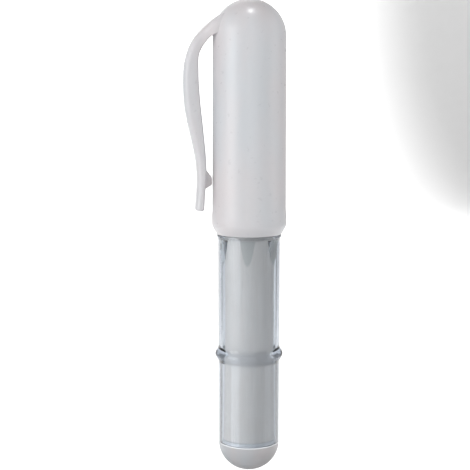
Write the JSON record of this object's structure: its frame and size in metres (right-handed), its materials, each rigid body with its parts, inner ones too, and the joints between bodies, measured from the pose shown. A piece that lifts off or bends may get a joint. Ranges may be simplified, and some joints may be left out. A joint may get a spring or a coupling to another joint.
{
  "type": "chalk liner pen",
  "caption": "Capped pen-style marker that draws a chalk line with a toothed wheel: domed cap with pocket clip, clear beaded barrel, powder cartridge, domed end plug.",
  "frame": {"origin": "centre of the small flat at the tail, on the pen's axis", "axes": "+Z along the pen from its tail to the crown of the cap; the pocket clip points along -X"},
  "size_m": [0.0261, 0.019, 0.12],
  "materials": {
    "cap_white": "satin",
    "barrel_clear": "gloss",
    "nozzle_white": "satin",
    "axle_steel": "satin",
    "wheel_brass": "satin",
    "cartridge_frosted": "matte",
    "chalk_white": "matte",
    "plug_white": "satin"
  },
  "bodies": {
    "pen_body": {"barrel": "barrel_clear", "nozzle": "nozzle_white", "wheel_housing": "nozzle_white", "wheel_axle": "axle_steel"},
    "cap": {"cap_shell": "cap_white"},
    "clip": {"cap_clip": "cap_white"},
    "wheel": {"marking_wheel": "wheel_brass"},
    "cartridge": {"cartridge_tube": "cartridge_frosted", "cartridge_lid": "nozzle_white", "chalk_powder": "chalk_white", "end_plug": "plug_white"}
  },
  "joints": [
    {"name": "cap_pull", "type": "slide", "parent": "pen_body", "child": "cap", "axis": [0, 0, 1], "range_m": [0, 0.055]},
    {"name": "clip_flex", "type": "hinge", "parent": "cap", "child": "clip", "pos_m": [-0.0074, 0, 0.11622], "axis": [0, 1, 0], "range_deg": [0, 3], "stiffness_Nm_per_rad": 1.2},
    {"name": "wheel_spin", "type": "hinge", "parent": "pen_body", "child": "wheel", "pos_m": [0, 0, 0.1039], "axis": [0, 1, 0], "continuous": true},
    {"name": "cartridge_pull", "type": "slide", "parent": "pen_body", "child": "cartridge", "axis": [0, 0, -1], "range_m": [0, 0.065]}
  ]
}
